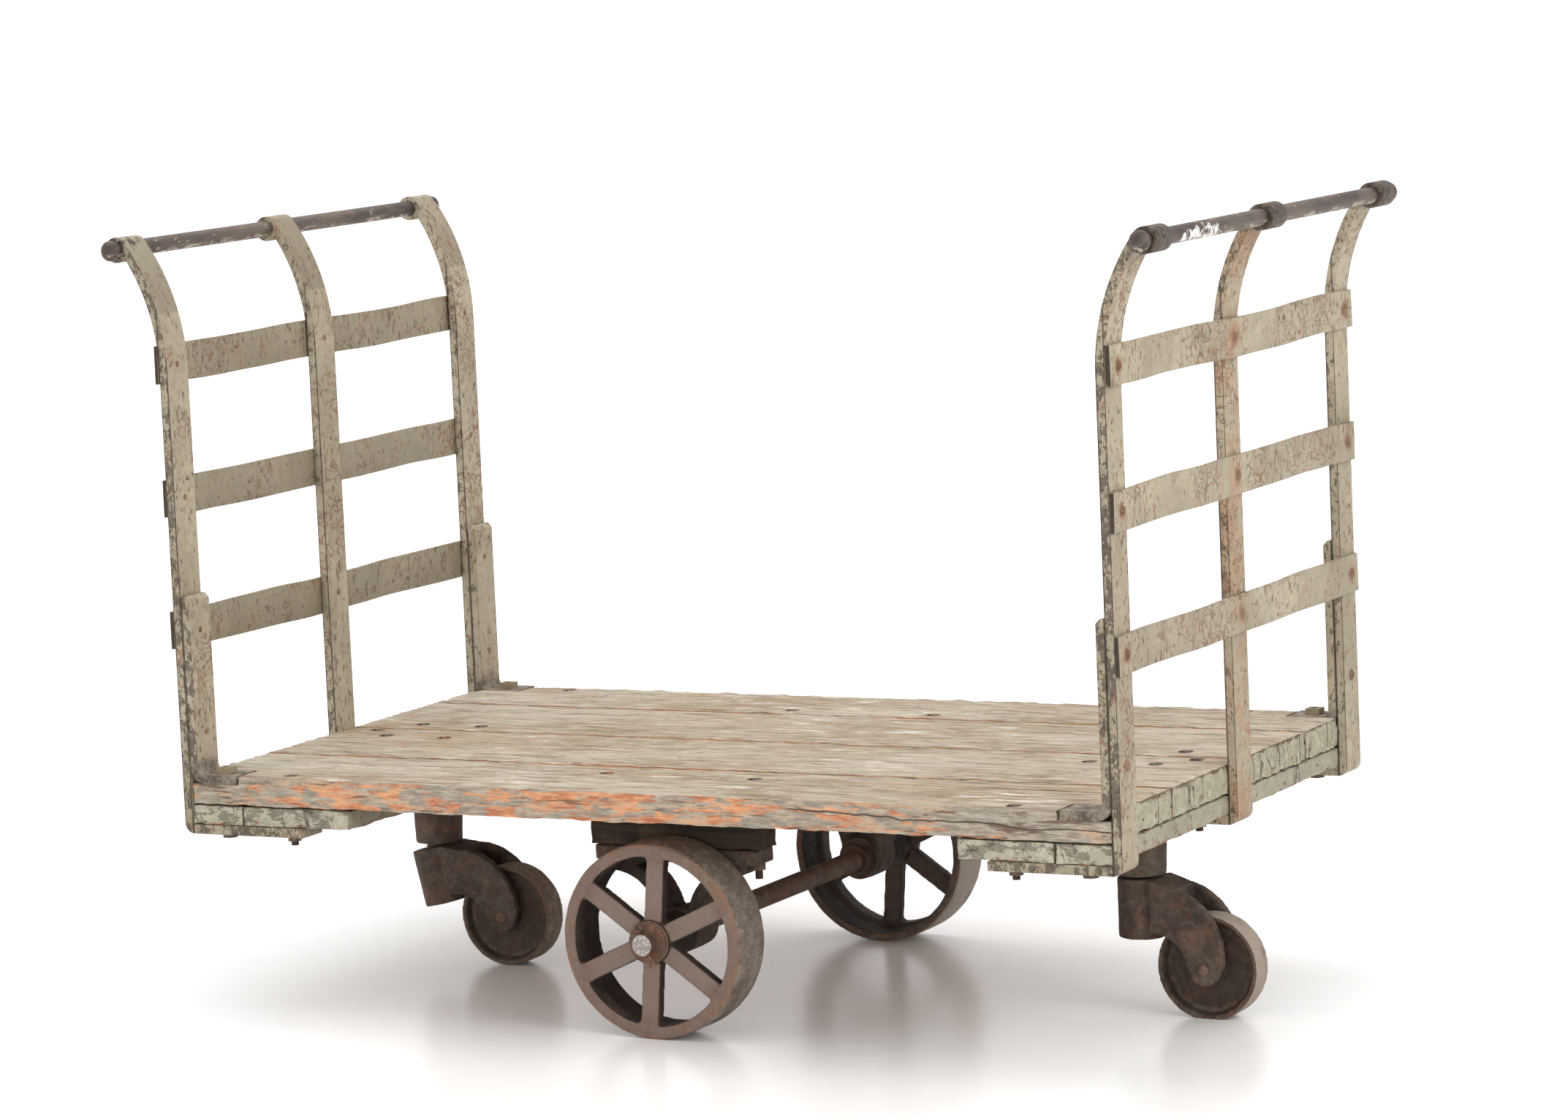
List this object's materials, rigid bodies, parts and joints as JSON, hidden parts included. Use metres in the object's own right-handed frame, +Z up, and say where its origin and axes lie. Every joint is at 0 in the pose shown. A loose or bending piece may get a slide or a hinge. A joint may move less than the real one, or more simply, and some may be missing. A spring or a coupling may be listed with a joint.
{
  "type": "platform truck",
  "caption": "Plank-decked platform truck with a slatted rack and push bar at each end, spoked iron wheels on a centre axle and swivel casters under the ends.",
  "frame": {"origin": "centre of the bounding box at the bottom of the lowest wheel, the right-hand caster's", "axes": "+X along the deck towards the right-hand rack, +Y across the deck from front to back, +Z up, normal to the deck"},
  "size_m": [1.5262, 0.856, 1.0671],
  "materials": {
    "deck_wood": "weathered bare hardwood with worn paint on the edges",
    "painted_wood": "cracked sage-green paint over wood",
    "dark_wood": "oil-darkened timber",
    "rack_paint": "old sage-green paint with chips and scratches",
    "bare_steel": "bare handled steel, dark and rubbed",
    "rusty_rivets": "painted rivets with rust around them",
    "pin_steel": "rusty steel",
    "fasteners": "dull rusty steel",
    "wheel_iron": "dark rusty cast iron with a worn grey tread",
    "caster_iron": "dark rusty cast iron with a worn grey tread",
    "cast_iron": "dark rusty cast iron"
  },
  "bodies": {
    "truck": {"plank_front": "deck_wood", "plank_mid_front": "deck_wood", "plank_mid_back": "deck_wood", "plank_back": "deck_wood", "left_board_outer": "painted_wood", "left_board_inner": "painted_wood", "right_board_outer": "painted_wood", "right_board_inner": "painted_wood", "left_upright_front": "rack_paint", "left_upright_middle": "rack_paint", "left_upright_back": "rack_paint", "right_upright_front": "rack_paint", "right_upright_middle": "rack_paint", "right_upright_back": "rack_paint", "left_slat_low": "rack_paint", "left_slat_middle": "rack_paint", "left_slat_top": "rack_paint", "right_slat_low": "rack_paint", "right_slat_middle": "rack_paint", "right_slat_top": "rack_paint", "left_handle_bar": "bare_steel", "right_handle_bar": "bare_steel", "knee_left_front": "rack_paint", "knee_left_back": "rack_paint", "knee_right_front": "rack_paint", "knee_right_back": "rack_paint", "left_slat_rivets": "rusty_rivets", "right_slat_rivets": "rusty_rivets", "knee_rivets": "rusty_rivets", "corner_bolts": "fasteners", "corner_nuts": "fasteners", "carriage_bolts": "fasteners", "carriage_nuts": "fasteners", "caster_bolts": "fasteners", "caster_nuts": "fasteners", "hanger_bolts": "fasteners", "hanger_nuts": "fasteners", "left_socket": "cast_iron", "right_socket": "cast_iron", "front_packing": "dark_wood", "back_packing": "dark_wood", "front_hanger": "cast_iron", "back_hanger": "cast_iron", "axle": "pin_steel", "axle_collars": "cast_iron", "axle_washers": "pin_steel", "split_pins": "pin_steel"},
    "front_wheel": {"front_wheel": "wheel_iron"},
    "back_wheel": {"back_wheel": "wheel_iron"},
    "left_swivel": {"left_fork": "cast_iron", "left_kingpin": "pin_steel", "left_caster_pin": "pin_steel"},
    "right_swivel": {"right_fork": "cast_iron", "right_kingpin": "pin_steel", "right_caster_pin": "pin_steel"},
    "left_roller": {"left_caster_wheel": "caster_iron"},
    "right_roller": {"right_caster_wheel": "caster_iron"}
  },
  "joints": [
    {"name": "front_wheel_spin", "type": "hinge", "parent": "truck", "child": "front_wheel", "pos_m": [0, -0.335, 0.142], "axis": [0, 1, 0], "continuous": true},
    {"name": "back_wheel_spin", "type": "hinge", "parent": "truck", "child": "back_wheel", "pos_m": [0, 0.335, 0.142], "axis": [0, 1, 0], "continuous": true},
    {"name": "left_caster_swivel", "type": "hinge", "parent": "truck", "child": "left_swivel", "pos_m": [-0.535, 0, 0.188], "axis": [0, 0, 1], "continuous": true},
    {"name": "right_caster_swivel", "type": "hinge", "parent": "truck", "child": "right_swivel", "pos_m": [0.535, 0, 0.188], "axis": [0, 0, 1], "continuous": true},
    {"name": "left_caster_spin", "type": "hinge", "parent": "left_swivel", "child": "left_roller", "pos_m": [-0.42281, 0, 0.08982], "axis": [0, 1, 0], "continuous": true},
    {"name": "right_caster_spin", "type": "hinge", "parent": "right_swivel", "child": "right_roller", "pos_m": [0.631, 0, 0.07], "axis": [0, 1, 0], "continuous": true}
  ]
}
